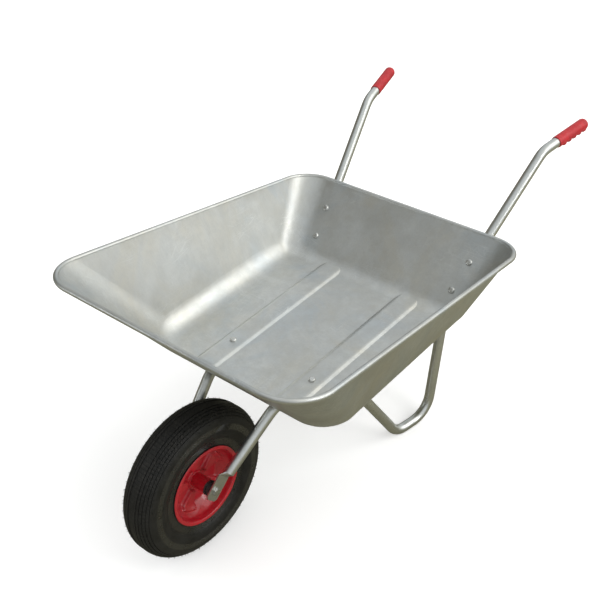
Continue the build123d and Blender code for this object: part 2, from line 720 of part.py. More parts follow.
def build():
    """Every node by name, in the drawing's own place."""
    axle_bolt, axle_washer, axle_nut = axle_bits()
    tube = make_tube()
    grip = make_grip()
    rim_left = make_rim_half()
    rim_right = mirrored(rim_left) - valve_line(valve_root(), VALVE_END_R, VALVE_D / 2)
    hub_run = sleeve(-HUB_HALF, HUB_HALF, HUB_D / 2, HUB_D / 2 - HUB_T)
    bush = make_bush()
    collar = make_collar()
    return {
        "tray": make_tray(),
        "frame_tube_left": tube,
        "frame_tube_right": mirrored(tube),
        "grip_left": grip,
        "grip_right": mirrored(grip),
        "floor_bolts": group(make_bolt, floor_bolt_places()),
        "floor_washers": group(make_washer, floor_bolt_places()),
        "floor_nuts": group(make_nut, floor_bolt_places()),
        "wall_bolts": group(make_bolt, wall_bolt_places()),
        "wall_washers": group(make_washer, wall_bolt_places()),
        "wall_nuts": group(make_nut, wall_bolt_places()),
        "axle_bolt": axle_bolt,
        "axle_washer": axle_washer,
        "axle_nut": axle_nut,
        "collar_left": collar,
        "collar_right": mirrored(collar),
        "tyre": make_tyre(),
        "inner_tube": make_inner_tube(),
        "valve_stem": make_valve_stem(),
        "valve_cap": make_valve_cap(),
        "rim_half_left": rim_left,
        "rim_half_right": rim_right,
        "hub_tube": hub_run,
        "bush_left": bush,
        "bush_right": mirrored(bush),
    }


def centre_shift(parts):
    """Move that puts the origin under the middle of the whole length."""
    boxes = [part.bounding_box() for part in parts.values()]
    low = min(box.min.Y for box in boxes)
    high = max(box.max.Y for box in boxes)
    return Pos(0, -(low + high) / 2, 0)


def main():
    os.makedirs("parts", exist_ok=True)
    parts = build()
    shift = centre_shift(parts)
    for name, part in parts.items():
        export_step(shift * part, f"parts/{name}.step")


if __name__ == "__main__":
    main()
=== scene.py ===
import math
import random

import bpy
from mathutils import Matrix, Vector


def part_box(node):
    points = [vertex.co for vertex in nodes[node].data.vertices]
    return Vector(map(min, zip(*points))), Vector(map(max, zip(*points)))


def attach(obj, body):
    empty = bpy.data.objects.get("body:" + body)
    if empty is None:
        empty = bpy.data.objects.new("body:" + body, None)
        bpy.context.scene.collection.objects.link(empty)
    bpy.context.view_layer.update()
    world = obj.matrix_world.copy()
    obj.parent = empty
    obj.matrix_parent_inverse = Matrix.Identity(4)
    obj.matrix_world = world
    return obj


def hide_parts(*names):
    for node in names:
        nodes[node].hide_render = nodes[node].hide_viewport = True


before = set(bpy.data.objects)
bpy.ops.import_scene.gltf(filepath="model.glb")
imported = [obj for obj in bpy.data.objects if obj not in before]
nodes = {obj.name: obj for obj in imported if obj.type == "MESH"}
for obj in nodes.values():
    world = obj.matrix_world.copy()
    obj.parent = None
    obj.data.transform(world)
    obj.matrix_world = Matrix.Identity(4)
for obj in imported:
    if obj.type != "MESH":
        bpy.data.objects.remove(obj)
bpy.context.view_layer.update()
MM = 0.001


# ---------------------------------------------------------------- places read from the frame
def middle_of(name):
    low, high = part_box(name)
    return (low + high) / 2


def size_of(name):
    low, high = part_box(name)
    return high - low


axle = middle_of("tyre")
tyre_r = size_of("tyre").z / 2
tyre_half = size_of("tyre").x / 2
lip_r = size_of("rim_half_left").z / 2
lip_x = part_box("rim_half_left")[1].x


# ---------------------------------------------------------------- shader node helpers
def add_node(tree, kind, **settings):
    made = tree.nodes.new(kind)
    for name, value in settings.items():
        setattr(made, name, value)
    return made


def wire(tree, source, target):
    tree.links.new(source, target)


def new_group(name, inputs, outputs):
    """Empty node group with named sockets: inputs and outputs are (name, kind, value)."""
    group = bpy.data.node_groups.new(name, "ShaderNodeTree")
    for label, kind, value in inputs:
        socket = group.interface.new_socket(label, in_out="INPUT", socket_type=kind)
        if value is not None:
            socket.default_value = value
    for label, kind in outputs:
        group.interface.new_socket(label, in_out="OUTPUT", socket_type=kind)
    entry = group.nodes.new("NodeGroupInput")
    leave = group.nodes.new("NodeGroupOutput")
    return group, entry, leave


def math_node(tree, operation, first, second=None, third=None, clamp=False):
    made = add_node(tree, "ShaderNodeMath", operation=operation, use_clamp=clamp)
    for slot, value in enumerate((first, second, third)):
        if value is None:
            continue
        if hasattr(value, "links"):
            wire(tree, value, made.inputs[slot])
        else:
            made.inputs[slot].default_value = value
    return made.outputs[0]


def times(tree, first, second):
    return math_node(tree, "MULTIPLY", first, second)


def plus(tree, first, second):
    return math_node(tree, "ADD", first, second)


def remap(tree, value, low, high, to_low=0.0, to_high=1.0):
    made = add_node(tree, "ShaderNodeMapRange", interpolation_type="SMOOTHSTEP")
    wire(tree, value, made.inputs["Value"])
    made.inputs["From Min"].default_value = low
    made.inputs["From Max"].default_value = high
    made.inputs["To Min"].default_value = to_low
    made.inputs["To Max"].default_value = to_high
    return made.outputs["Result"]


def mix_colour(tree, share, first, second, blend="MIX"):
    made = add_node(tree, "ShaderNodeMix", data_type="RGBA", blend_type=blend)
    for socket, value in ((made.inputs[0], share), (made.inputs[6], first), (made.inputs[7], second)):
        if hasattr(value, "links"):
            wire(tree, value, socket)
        else:
            socket.default_value = value
    return made.outputs[2]


def stretched(tree, vector, scale):
    made = add_node(tree, "ShaderNodeMapping")
    wire(tree, vector, made.inputs["Vector"])
    made.inputs["Scale"].default_value = scale
    return made.outputs["Vector"]


def noise(tree, vector, scale, detail=4.0, rough=0.5, distortion=0.0):
    made = add_node(tree, "ShaderNodeTexNoise")
    wire(tree, vector, made.inputs["Vector"])
    if hasattr(scale, "links"):
        wire(tree, scale, made.inputs["Scale"])
    else:
        made.inputs["Scale"].default_value = scale
    made.inputs["Detail"].default_value = detail
    made.inputs["Roughness"].default_value = rough
    made.inputs["Distortion"].default_value = distortion
    return made.outputs["Fac"]


# ---------------------------------------------------------------- shared effects
def group_blotches():
    """Soft uneven patches, large and small together."""
    group, entry, leave = new_group(
        "soft_blotches",
        [("Vector", "NodeSocketVector", None), ("Scale", "NodeSocketFloat", 8.0),
         ("Fine Share", "NodeSocketFloat", 0.3)],
        [("Mask", "NodeSocketFloat")],
    )
    large = noise(group, entry.outputs["Vector"], entry.outputs["Scale"], 3.0, 0.55, 0.6)
    fine_scale = times(group, entry.outputs["Scale"], 7.3)
    fine = noise(group, entry.outputs["Vector"], fine_scale, 5.0, 0.65, 0.3)
    around_zero = math_node(group, "SUBTRACT", fine, 0.5)
    weighted = times(group, around_zero, entry.outputs["Fine Share"])
    both = plus(group, large, weighted)
    wire(group, remap(group, both, 0.3, 0.7), leave.inputs["Mask"])
    return group


def group_grain():
    """Fine grain in two scales, drawn out along whichever axis the vector is stretched."""
    group, entry, leave = new_group(
        "drawn_grain",
        [("Vector", "NodeSocketVector", None), ("Scale", "NodeSocketFloat", 60.0)],
        [("Value", "NodeSocketFloat")],
    )
    coarse = noise(group, entry.outputs["Vector"], entry.outputs["Scale"], 2.0, 0.6)
    fine_scale = times(group, entry.outputs["Scale"], 4.7)
    fine = noise(group, entry.outputs["Vector"], fine_scale, 3.0, 0.7)
    total = plus(group, times(group, coarse, 0.55), times(group, fine, 0.45))
    wire(group, remap(group, total, 0.32, 0.68), leave.inputs["Value"])
    return group


def group_scratches():
    """Sparse thin handling marks in two directions."""
    group, entry, leave = new_group(
        "handling_marks",
        [("Vector", "NodeSocketVector", None), ("Scale", "NodeSocketFloat", 10.0),
         ("Amount", "NodeSocketFloat", 0.5)],
        [("Mask", "NodeSocketFloat")],
    )
    total = None
    for turn, stretch in (((0.3, 0.2, 0.5), (1.0, 14.0, 9.0)), ((1.1, 0.7, 2.1), (13.0, 1.0, 8.0))):
        turned = add_node(group, "ShaderNodeMapping")
        wire(group, entry.outputs["Vector"], turned.inputs["Vector"])
        turned.inputs["Rotation"].default_value = turn
        turned.inputs["Scale"].default_value = stretch
        web = add_node(group, "ShaderNodeTexVoronoi", feature="DISTANCE_TO_EDGE")
        wire(group, turned.outputs["Vector"], web.inputs["Vector"])
        wire(group, entry.outputs["Scale"], web.inputs["Scale"])
        line = remap(group, web.outputs["Distance"], 0.0, 0.022, 1.0, 0.0)
        total = line if total is None else math_node(group, "MAXIMUM", total, line)
    patch = remap(group, noise(group, entry.outputs["Vector"], 9.0, 2.0), 0.5, 0.66)
    mask = times(group, times(group, total, patch), entry.outputs["Amount"])
    wire(group, mask, leave.inputs["Mask"])
    return group


def group_dust():
    """Pale dust that lies on faces turned upwards."""
    group, entry, leave = new_group(
        "settled_dust",
        [("Vector", "NodeSocketVector", None), ("Up", "NodeSocketVector", None),
         ("Scale", "NodeSocketFloat", 40.0), ("Amount", "NodeSocketFloat", 0.3)],
        [("Mask", "NodeSocketFloat")],
    )
    split = add_node(group, "ShaderNodeSeparateXYZ")
    wire(group, entry.outputs["Up"], split.inputs[0])
    upward = remap(group, split.outputs["Z"], -0.1, 0.9, 0.15, 1.0)
    cloud = noise(group, entry.outputs["Vector"], entry.outputs["Scale"], 6.0, 0.7)
    specks = remap(group, cloud, 0.42, 0.72)
    mask = times(group, times(group, upward, specks), entry.outputs["Amount"])
    wire(group, mask, leave.inputs["Mask"])
    return group


def group_polar():
    """Distance from the wheel's axle line, and the turn about it, from centred coordinates."""
    group, entry, leave = new_group(
        "wheel_polar",
        [("Vector", "NodeSocketVector", None)],
        [("Radius", "NodeSocketFloat"), ("Turn", "NodeSocketFloat"), ("Across", "NodeSocketFloat")],
    )
    split = add_node(group, "ShaderNodeSeparateXYZ")
    wire(group, entry.outputs["Vector"], split.inputs[0])
    squares = plus(
        group, math_node(group, "POWER", split.outputs["Y"], 2.0),
        math_node(group, "POWER", split.outputs["Z"], 2.0),
    )
    wire(group, math_node(group, "SQRT", squares), leave.inputs["Radius"])
    wire(group, math_node(group, "ARCTAN2", split.outputs["Y"], split.outputs["Z"]), leave.inputs["Turn"])
    wire(group, split.outputs["X"], leave.inputs["Across"])
    return group


BLOTCHES = group_blotches()
GRAIN = group_grain()
SCRATCHES = group_scratches()
DUST = group_dust()
POLAR = group_polar()


def place_group(tree, group, **values):
    made = add_node(tree, "ShaderNodeGroup", node_tree=group)
    for label, value in values.items():
        socket = made.inputs[label.replace("_", " ")]
        if hasattr(value, "links"):
            wire(tree, value, socket)
        else:
            socket.default_value = value
    return made


def dust_mask(tree, where, here, scale, amount):
    up = where.outputs["Normal"]
    return place_group(tree, DUST, Vector=here, Up=up, Scale=scale, Amount=amount).outputs["Mask"]


def new_material(name):
    """Material with its shader, the object coordinates and the object's own normal."""
    made = bpy.data.materials.new(name)
    made.use_nodes = True
    tree = made.node_tree
    tree.nodes.clear()
    shader = tree.nodes.new("ShaderNodeBsdfPrincipled")
    end = tree.nodes.new("ShaderNodeOutputMaterial")
    wire(tree, shader.outputs["BSDF"], end.inputs["Surface"])
    where = tree.nodes.new("ShaderNodeTexCoord")
    return made, tree, shader, where


def bump(tree, shader, height, strength, distance):
    made = tree.nodes.new("ShaderNodeBump")
    made.inputs["Strength"].default_value = strength
    made.inputs["Distance"].default_value = distance
    wire(tree, height, made.inputs["Height"])
    wire(tree, made.outputs["Normal"], shader.inputs["Normal"])


def centred(tree, where, centre):
    """Object coordinates with their zero at a place on the object."""
    made = add_node(tree, "ShaderNodeMapping")
    wire(tree, where.outputs["Object"], made.inputs["Vector"])
    made.inputs["Location"].default_value = -centre
    return made.outputs["Vector"]


# ---------------------------------------------------------------- materials
def galvanised_sheet():
    made, tree, shader, where = new_material("galvanised_sheet")
    here = where.outputs["Object"]
    patches = place_group(tree, BLOTCHES, Vector=here, Scale=5.0, Fine_Share=0.35).outputs["Mask"]
    mottling = place_group(tree, BLOTCHES, Vector=here, Scale=34.0, Fine_Share=0.6).outputs["Mask"]
    streaks = place_group(
        tree, GRAIN, Vector=stretched(tree, here, (1.0, 1.0, 0.05)), Scale=42.0
    ).outputs["Value"]
    marks = place_group(tree, SCRATCHES, Vector=here, Scale=7.0, Amount=0.5).outputs["Mask"]
    dust = dust_mask(tree, where, here, 55.0, 0.22)
    base = mix_colour(tree, patches, (0.60, 0.60, 0.575, 1), (0.70, 0.71, 0.70, 1))
    drift = noise(tree, stretched(tree, here, (1.0, 1.0, 0.55)), 5.5, 3.0, 0.55, 1.2)
    base = mix_colour(tree, remap(tree, drift, 0.50, 0.68, 0.0, 0.6), base, (0.66, 0.635, 0.565, 1))
    base = mix_colour(tree, remap(tree, drift, 0.32, 0.48, 0.65, 0.0), base, (0.55, 0.595, 0.63, 1))
    base = mix_colour(tree, times(tree, mottling, 0.35), base, (0.56, 0.575, 0.58, 1))
    base = mix_colour(tree, times(tree, streaks, 0.22), base, (0.45, 0.45, 0.43, 1))
    base = mix_colour(tree, marks, base, (0.80, 0.81, 0.80, 1))
    base = mix_colour(tree, dust, base, (0.50, 0.48, 0.44, 1))
    wire(tree, base, shader.inputs["Base Color"])
    shader.inputs["Metallic"].default_value = 1.0
    rough = plus(tree, times(tree, patches, 0.07), times(tree, streaks, 0.06))
    rough = plus(tree, rough, times(tree, mottling, 0.05))
    rough = plus(tree, rough, 0.34)
    wire(tree, rough, shader.inputs["Roughness"])
    height = plus(tree, times(tree, streaks, 0.4), times(tree, mottling, 0.6))
    height = math_node(tree, "SUBTRACT", height, marks)
    bump(tree, shader, height, 0.12, 0.0006)
    return made


def bright_zinc(name, light, dark, rough_low, grain_scale, grain_bump, mark_share):
    made, tree, shader, where = new_material(name)
    here = where.outputs["Object"]
    patches = place_group(tree, BLOTCHES, Vector=here, Scale=14.0, Fine_Share=0.5).outputs["Mask"]
    grain = place_group(tree, GRAIN, Vector=here, Scale=grain_scale).outputs["Value"]
    marks = place_group(tree, SCRATCHES, Vector=here, Scale=22.0, Amount=mark_share).outputs["Mask"]
    base = mix_colour(tree, patches, light, dark)
    base = mix_colour(tree, times(tree, grain, 0.2), base, (0.42, 0.42, 0.40, 1))
    base = mix_colour(tree, marks, base, (0.84, 0.84, 0.82, 1))
    wire(tree, base, shader.inputs["Base Color"])
    shader.inputs["Metallic"].default_value = 1.0
    rough = times(tree, patches, 0.08)
    rough = plus(tree, rough, times(tree, grain, 0.06))
    wire(tree, plus(tree, rough, rough_low), shader.inputs["Roughness"])
    bump(tree, shader, math_node(tree, "SUBTRACT", grain, marks), grain_bump, 0.0003)
    return made


def red_enamel():
    made, tree, shader, where = new_material("red_enamel")
    here = centred(tree, where, axle)
    patches = place_group(tree, BLOTCHES, Vector=here, Scale=16.0, Fine_Share=0.3).outputs["Mask"]
    dust = dust_mask(tree, where, here, 90.0, 0.10)
    chips = remap(tree, noise(tree, here, 210.0, 3.0, 0.6), 0.69, 0.74)
    base = mix_colour(tree, patches, (0.33, 0.004, 0.011, 1), (0.42, 0.006, 0.015, 1))
    base = mix_colour(tree, dust, base, (0.45, 0.22, 0.19, 1))
    base = mix_colour(tree, times(tree, chips, 0.5), base, (0.10, 0.02, 0.02, 1))
    wire(tree, base, shader.inputs["Base Color"])
    peel = noise(tree, here, 420.0, 2.0, 0.5)
    rough = plus(tree, times(tree, patches, 0.08), times(tree, dust, 1.2))
    wire(tree, plus(tree, rough, 0.30), shader.inputs["Roughness"])
    shader.inputs["Specular IOR Level"].default_value = 0.35
    shader.inputs["Coat Weight"].default_value = 0.55
    shader.inputs["Coat Roughness"].default_value = 0.07
    bump(tree, shader, peel, 0.10, 0.0004)
    return made


def band(tree, value, rise, fall):
    """One between rise and fall, nothing outside them."""
    return times(tree, remap(tree, value, *rise), remap(tree, value, *fall, 1.0, 0.0))


def tyre_rubber():
    made, tree, shader, where = new_material("black_tyre_rubber")
    here = centred(tree, where, axle)
    polar = place_group(tree, POLAR, Vector=here)
    radius = polar.outputs["Radius"]
    patches = place_group(tree, BLOTCHES, Vector=here, Scale=22.0, Fine_Share=0.5).outputs["Mask"]
    grain = place_group(tree, GRAIN, Vector=here, Scale=300.0).outputs["Value"]
    dust = dust_mask(tree, where, here, 120.0, 0.35)
    tread = remap(tree, radius, 0.160, 0.172)
    waves = math_node(tree, "SINE", times(tree, polar.outputs["Turn"], 132.0))
    slant = times(tree, polar.outputs["Across"], 900.0)
    slanted_turn = plus(tree, times(tree, polar.outputs["Turn"], 110.0), slant)
    teeth = math_node(tree, "SINE", slanted_turn)
    sipes_and_groove_shade = remap(tree, math_node(tree, "MAXIMUM", waves, teeth), 0.80, 0.97)
    sipes_and_groove_shade = times(tree, sipes_and_groove_shade, tread)
    rings = math_node(tree, "SINE", times(tree, radius, 3300.0))
    near_lip = band(tree, radius, (0.098, 0.101), (0.112, 0.118))
    side_band = band(tree, radius, (0.136, 0.139), (0.149, 0.153))
    banded = math_node(tree, "MAXIMUM", near_lip, side_band)
    rings = times(tree, rings, banded)
    base = mix_colour(tree, patches, (0.007, 0.007, 0.0065, 1), (0.013, 0.0128, 0.0115, 1))
    base = mix_colour(tree, dust, base, (0.060, 0.055, 0.047, 1))
    # painted shade: the sipe lines are darkened in the base colour, as shade in the grooves; the same
    # mask also cuts them into the bump
    base = mix_colour(tree, times(tree, sipes_and_groove_shade, 0.8), base, (0.004, 0.004, 0.004, 1))
    wire(tree, base, shader.inputs["Base Color"])
    rough = plus(tree, times(tree, patches, 0.10), times(tree, dust, 0.35))
    rough = plus(tree, rough, times(tree, tread, 0.14))
    rough = math_node(tree, "SUBTRACT", rough, times(tree, banded, 0.12))
    wire(tree, plus(tree, rough, 0.36), shader.inputs["Roughness"])
    shader.inputs["Specular IOR Level"].default_value = 0.32
    wire(tree, times(tree, banded, 0.9), shader.inputs["Coat Weight"])
    shader.inputs["Coat Roughness"].default_value = 0.10
    height = times(tree, grain, 0.10)
    height = math_node(tree, "SUBTRACT", height, times(tree, sipes_and_groove_shade, 0.9))
    height = plus(tree, height, times(tree, rings, 0.7))
    bump(tree, shader, height, 0.55, 0.0012)
    return made


def moulded_plastic(name, light, dark, rough_low, grain_scale, grain_bump, coat=0.0):
    made, tree, shader, where = new_material(name)
    here = where.outputs["Object"]
    patches = place_group(tree, BLOTCHES, Vector=here, Scale=30.0, Fine_Share=0.4).outputs["Mask"]
    grain = place_group(tree, GRAIN, Vector=here, Scale=grain_scale).outputs["Value"]
    dust = dust_mask(tree, where, here, 150.0, 0.10)
    base = mix_colour(tree, patches, light, dark)
    base = mix_colour(tree, dust, base, (0.38, 0.30, 0.27, 1))
    wire(tree, base, shader.inputs["Base Color"])
    rough = plus(tree, times(tree, patches, 0.08), times(tree, grain, 0.05))
    wire(tree, plus(tree, rough, rough_low), shader.inputs["Roughness"])
    shader.inputs["Coat Weight"].default_value = coat
    bump(tree, shader, grain, grain_bump, 0.0003)
    return made


SHEET = galvanised_sheet()
TUBE_ZINC = bright_zinc(
    "zinc_tube", (0.74, 0.75, 0.74, 1), (0.64, 0.65, 0.64, 1),
    rough_low=0.26, grain_scale=260.0, grain_bump=0.03, mark_share=0.15,
)
BOLT_ZINC = bright_zinc(
    "zinc_fasteners", (0.70, 0.70, 0.68, 1), (0.58, 0.58, 0.56, 1),
    rough_low=0.20, grain_scale=500.0, grain_bump=0.08, mark_share=0.4,
)
ENAMEL = red_enamel()
RUBBER = tyre_rubber()
GRIP_RED = moulded_plastic(
    "red_grip_plastic", (0.40, 0.006, 0.012, 1), (0.32, 0.005, 0.010, 1),
    rough_low=0.46, grain_scale=420.0, grain_bump=0.18, coat=0.05,
)
BLACK = moulded_plastic(
    "black_plastic", (0.020, 0.020, 0.021, 1), (0.030, 0.029, 0.028, 1),
    rough_low=0.36, grain_scale=350.0, grain_bump=0.20,
)
SOFT_BLACK = moulded_plastic(
    "black_tube_rubber", (0.016, 0.016, 0.016, 1), (0.026, 0.025, 0.024, 1),
    rough_low=0.55, grain_scale=350.0, grain_bump=0.25,
)

FINISH = {
    "tray": SHEET, "frame_tube_left": TUBE_ZINC, "frame_tube_right": TUBE_ZINC,
    "floor_bolts": BOLT_ZINC, "floor_washers": BOLT_ZINC, "floor_nuts": BOLT_ZINC,
    "wall_bolts": BOLT_ZINC, "wall_washers": BOLT_ZINC, "wall_nuts": BOLT_ZINC,
    "axle_bolt": BOLT_ZINC, "axle_washer": BOLT_ZINC, "axle_nut": BOLT_ZINC,
    "rim_half_left": ENAMEL, "rim_half_right": ENAMEL, "hub_tube": ENAMEL,
    "grip_left": GRIP_RED, "grip_right": GRIP_RED,
    "bush_left": BLACK, "bush_right": BLACK, "collar_left": BLACK, "collar_right": BLACK,
    "valve_cap": BLACK, "valve_stem": SOFT_BLACK, "inner_tube": SOFT_BLACK, "tyre": RUBBER,
}
for name, material in FINISH.items():
    mesh = nodes[name].data
    mesh.materials.clear()
    mesh.materials.append(material)


# ---------------------------------------------------------------- modelling helpers
def deselect():
    bpy.ops.object.select_all(action="DESELECT")


def editing(part):
    deselect()
    part.select_set(True)
    bpy.context.view_layer.objects.active = part
    bpy.ops.object.mode_set(mode="EDIT")
    bpy.ops.mesh.select_all(action="DESELECT")
    bpy.ops.object.mode_set(mode="OBJECT")


def back_to_edit(mode):
    bpy.ops.object.mode_set(mode="EDIT")
    bpy.ops.mesh.select_mode(type=mode)


def pick_vertices(part, test):
    bpy.ops.object.mode_set(mode="OBJECT")
    for v in part.data.vertices:
        v.select = bool(test(v.co))
    for e in part.data.edges:
        e.select = all(part.data.vertices[i].select for i in e.vertices)
    for f in part.data.polygons:
        f.select = all(part.data.vertices[i].select for i in f.vertices)


def radius_of(point):
    return math.hypot(point.y - axle.y, point.z - axle.z)


def finish_piece(part, name, material, body, stands_for=(), smooth=40.0):
    """Place applied, normals outwards, shading, material and the body it rides on."""
    deselect()
    part.select_set(True)
    bpy.context.view_layer.objects.active = part
    bpy.ops.object.transform_apply(location=True, rotation=True, scale=True)
    bpy.ops.object.mode_set(mode="EDIT")
    bpy.ops.mesh.select_all(action="SELECT")
    bpy.ops.mesh.normals_make_consistent(inside=False)
    bpy.ops.object.mode_set(mode="OBJECT")
    bpy.ops.object.shade_smooth_by_angle(angle=math.radians(smooth))
    part.name = name
    part.data.name = name
    part.data.materials.clear()
    part.data.materials.append(material)
    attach(part, body)
    if stands_for:
        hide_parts(*stands_for)
    return part


# ---------------------------------------------------------------- tyre
TREAD_STEPS = 144
CORNER_STEPS = 16
CARCASS = 6.0 * MM
GROOVE_DEPTH = 1.6 * MM
GROOVES_WITHIN = 58.0        # degrees each side of the tread's middle
RIDGE_RISE = 0.45 * MM
BAND_HALF = 0.8 * MM         # half width of a groove or ridge
section_top = axle.z + tyre_r
section_foot = axle.z + lip_r
section_r = 0.4375 * min(2 * tyre_half, tyre_r - lip_r)
bead_x = lip_x - 3.5 * MM


def tyre_outline():
    """Rounded section standing over the axle, as a closed outline that open_the_beads opens later."""
    deselect()
    middle = (section_top + section_foot) / 2
    bpy.ops.mesh.primitive_plane_add(
        size=1.0, location=(0, axle.y, middle), rotation=(math.pi / 2, 0, 0)
    )
    part = bpy.context.object
    part.scale = (2 * tyre_half, section_top - section_foot, 1)
    bpy.ops.object.transform_apply(location=True, rotation=True, scale=True)
    bpy.ops.object.mode_set(mode="EDIT")
    bpy.ops.mesh.select_mode(type="FACE")
    bpy.ops.mesh.select_all(action="SELECT")
    bpy.ops.mesh.delete(type="ONLY_FACE")
    bpy.ops.mesh.select_mode(type="VERT")
    bpy.ops.mesh.select_all(action="SELECT")
    bpy.ops.mesh.bevel(affect="VERTICES", offset=section_r, segments=CORNER_STEPS, clamp_overlap=False)
    pick_vertices(part, lambda p: p.z > section_top - 1e-5)
    back_to_edit("VERT")
    bpy.ops.mesh.subdivide(number_cuts=1)
    pick_vertices(part, lambda p: abs(abs(p.x) - tyre_half) < 1e-5)
    back_to_edit("VERT")
    bpy.ops.mesh.subdivide(number_cuts=3)
    bpy.ops.object.mode_set(mode="OBJECT")
    return part


def open_the_beads(part):
    """Lower part removed between the beads, whose ends run down inside the rim lips."""
    pick_vertices(part, lambda p: p.z < axle.z + lip_r + section_r and abs(p.x) < bead_x - 1e-4)
    back_to_edit("VERT")
    bpy.ops.mesh.delete(type="VERT")
    for side in (1, -1):
        bpy.ops.object.mode_set(mode="OBJECT")
        ends = [v for v in part.data.vertices if v.co.x * side > 0]
        low = min(v.co.z for v in ends)
        pick_vertices(part, lambda p: p.x * side > 0 and p.z < low + 1e-6)
        end = next(v.co.copy() for v in part.data.vertices if v.select)
        back_to_edit("VERT")
        target = Vector((side * bead_x, axle.y, axle.z + lip_r + 9 * MM))
        bpy.ops.mesh.extrude_region_move(TRANSFORM_OT_translate={"value": target - end})
        bpy.ops.mesh.extrude_region_move(TRANSFORM_OT_translate={"value": (0, 0, -16 * MM)})
    bpy.ops.object.mode_set(mode="OBJECT")


def spin_round_axle(steps):
    back_to_edit("VERT")
    bpy.ops.mesh.select_all(action="SELECT")
    bpy.ops.mesh.spin(steps=steps, angle=2 * math.pi, center=axle, axis=(1, 0, 0))
    bpy.ops.mesh.select_all(action="SELECT")
    bpy.ops.mesh.remove_doubles(threshold=1e-5)
    bpy.ops.mesh.normals_make_consistent(inside=False)
    bpy.ops.object.mode_set(mode="OBJECT")


def rings_at(part, places, half_width, slope, depth):
    """Each circular edge line at a place (x, r) widened to a band, then set in or out."""
    bpy.ops.object.mode_set(mode="OBJECT")
    mesh = part.data
    near = [
        any(abs(v.co.x - x) < 2e-4 and abs(radius_of(v.co) - r) < 2e-4 for x, r in places)
        for v in mesh.vertices
    ]
    for v in mesh.vertices:
        v.select = False
    for f in mesh.polygons:
        f.select = False
    for e in mesh.edges:
        a, b = e.vertices
        along = abs(mesh.vertices[a].co.x - mesh.vertices[b].co.x) < 1e-4
        same = abs(radius_of(mesh.vertices[a].co) - radius_of(mesh.vertices[b].co)) < 1e-4
        e.select = near[a] and near[b] and along and same
        if e.select:
            mesh.vertices[a].select = True
            mesh.vertices[b].select = True
    back_to_edit("EDGE")
    bpy.ops.mesh.bevel(affect="EDGES", offset=half_width, segments=1)
    bpy.ops.mesh.select_mode(type="FACE")
    bpy.ops.mesh.inset(thickness=slope, depth=depth)
    bpy.ops.object.mode_set(mode="OBJECT")


def section_places(part):
    """The (x, r) places of the section's lines, from the spun mesh."""
    found = {}
    for v in part.data.vertices:
        key = (round(v.co.x * 10000), round(radius_of(v.co) * 10000))
        found[key] = (v.co.x, radius_of(v.co))
    return list(found.values())


def build_tyre():
    part = tyre_outline()
    open_the_beads(part)
    editing(part)
    spin_round_axle(TREAD_STEPS)
    flat = tyre_half - section_r
    corner_r = tyre_r - section_r
    grooves = []
    ridges = []
    for x, r in section_places(part):
        if r < corner_r + 1e-4:
            if lip_r + 9.5 * MM < r < lip_r + 22 * MM:
                ridges.append((x, r))
            continue
        lean = math.degrees(math.atan2(abs(x) - flat, r - corner_r)) if abs(x) > flat + 1e-5 else 0.0
        step = round(lean / 90 * CORNER_STEPS)
        if lean < GROOVES_WITHIN and step % 2 == 0:
            grooves.append((x, r))
    rings_at(part, grooves, BAND_HALF, 0.25 * MM, -GROOVE_DEPTH)
    rings_at(part, ridges, BAND_HALF, 0.3 * MM, RIDGE_RISE)
    wall = part.modifiers.new("carcass", "SOLIDIFY")
    wall.thickness = CARCASS
    wall.offset = -1.0
    deselect()
    part.select_set(True)
    bpy.context.view_layer.objects.active = part
    bpy.ops.object.modifier_apply(modifier=wall.name)
    return finish_piece(part, "tyre_ribbed", RUBBER, "wheel", ("tyre",), 32.0)


# ---------------------------------------------------------------- moulding hairs on the tyre
HAIR_LONG = 4.6 * MM
HAIR_MIDDLE = 1.9 * MM
HAIR_ROWS = ((29.0, 52), (35.0, 60), (48.0, 52), (66.0, 26))     # lean in degrees, and how many


def hair_master():
    """One thin moulding hair, standing on the ground plane and leaning a little."""
    deselect()
    bpy.ops.mesh.primitive_cone_add(
        vertices=5, radius1=0.75 * MM, radius2=0.35 * MM, depth=HAIR_LONG, location=(0, 0, HAIR_MIDDLE)
    )
    part = bpy.context.object
    bpy.ops.object.transform_apply(location=True, rotation=True, scale=True)
    bpy.ops.object.mode_set(mode="EDIT")
    bpy.ops.mesh.select_all(action="SELECT")
    bpy.ops.mesh.bisect(plane_co=(0, 0, HAIR_MIDDLE), plane_no=(0, 0, 1))
    bpy.ops.object.mode_set(mode="OBJECT")
    pick_vertices(part, lambda p: p.z > 3.5 * MM)
    back_to_edit("VERT")
    bpy.ops.transform.translate(value=(0.7 * MM, 0.4 * MM, -0.2 * MM))
    bpy.ops.object.mode_set(mode="OBJECT")
    return part


def build_hairs():
    master = hair_master()
    chance = random.Random(7)
    flat = tyre_half - section_r
    corner_r = tyre_r - section_r
    copies = []
    for side in (1, -1):
        for lean_deg, count in HAIR_ROWS:
            for i in range(count):
                turn = 2 * math.pi * (i + chance.uniform(-0.25, 0.25)) / count
                lean = math.radians(lean_deg + chance.uniform(-2.5, 2.5))
                x = side * (flat + section_r * math.sin(lean))
                r = corner_r + section_r * math.cos(lean)
                away = Vector((0, math.sin(turn), math.cos(turn)))
                normal = Vector((side * math.sin(lean), 0, 0)) + away * math.cos(lean)
                spot = Vector((x, axle.y, axle.z)) + away * r - normal * 0.2 * MM
                turned = normal.to_track_quat("Z", "Y").to_matrix().to_4x4()
                about = Matrix.Rotation(chance.uniform(0, 2 * math.pi), 4, "Z")
                size = chance.uniform(0.65, 1.0)
                one = bpy.data.objects.new("hair", master.data.copy())
                bpy.context.scene.collection.objects.link(one)
                one.matrix_world = Matrix.Translation(spot) @ turned @ about @ Matrix.Scale(size, 4)
                copies.append(one)
    bpy.data.objects.remove(master)
    deselect()
    for one in copies:
        one.select_set(True)
    bpy.context.view_layer.objects.active = copies[0]
    bpy.ops.object.transform_apply(location=True, rotation=True, scale=True)
    bpy.ops.object.join()
    return finish_piece(bpy.context.object, "tyre_moulding_hairs", RUBBER, "wheel")


